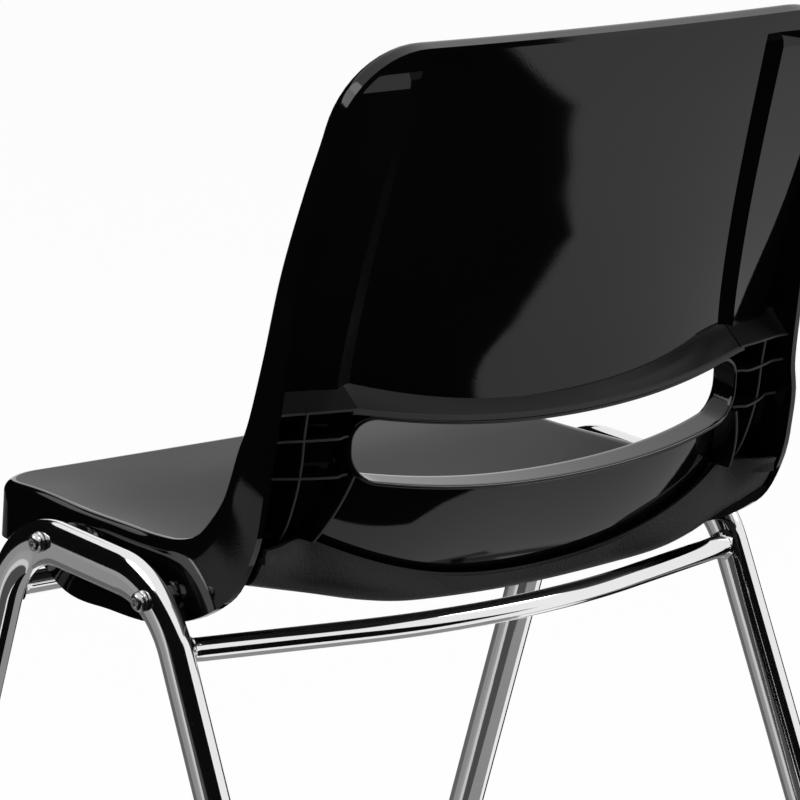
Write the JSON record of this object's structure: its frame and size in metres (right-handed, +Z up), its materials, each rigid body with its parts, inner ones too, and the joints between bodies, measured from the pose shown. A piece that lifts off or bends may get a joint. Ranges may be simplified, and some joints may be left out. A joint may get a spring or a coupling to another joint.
{
  "type": "choir chair",
  "caption": "Stacking choir chair: moulded bucket shell with a hand-hold slot, bolted to a chromed frame of bent oval tube with bowed crossbar.",
  "frame": {"origin": "on the floor, under the middle of the chair's whole width and whole depth", "axes": "+Z up, the sitter faces -Y, +X is the sitter's left"},
  "size_m": [0.5008, 0.5744, 0.791],
  "materials": {
    "shell_plastic": "black, glossy behind and finely textured on the sitting face",
    "chrome_tube": "bright chrome plate",
    "screw_steel": "bright zinc",
    "insert_brass": "plain",
    "glide_rubber": "matte black"
  },
  "bodies": {
    "root": {"seat_shell": "shell_plastic", "rear_crossbar": "chrome_tube", "front_crossbar": "chrome_tube", "side_frame_left": "chrome_tube", "side_frame_right": "chrome_tube", "screw_front_left": "screw_steel", "washer_front_left": "screw_steel", "spacer_front_left": "screw_steel", "insert_front_left": "insert_brass", "glide_front_left": "glide_rubber", "screw_rear_left": "screw_steel", "washer_rear_left": "screw_steel", "spacer_rear_left": "screw_steel", "insert_rear_left": "insert_brass", "glide_rear_left": "glide_rubber", "screw_front_right": "screw_steel", "washer_front_right": "screw_steel", "spacer_front_right": "screw_steel", "insert_front_right": "insert_brass", "glide_front_right": "glide_rubber", "screw_rear_right": "screw_steel", "washer_rear_right": "screw_steel", "spacer_rear_right": "screw_steel", "insert_rear_right": "insert_brass", "glide_rear_right": "glide_rubber"}
  },
  "joints": []
}
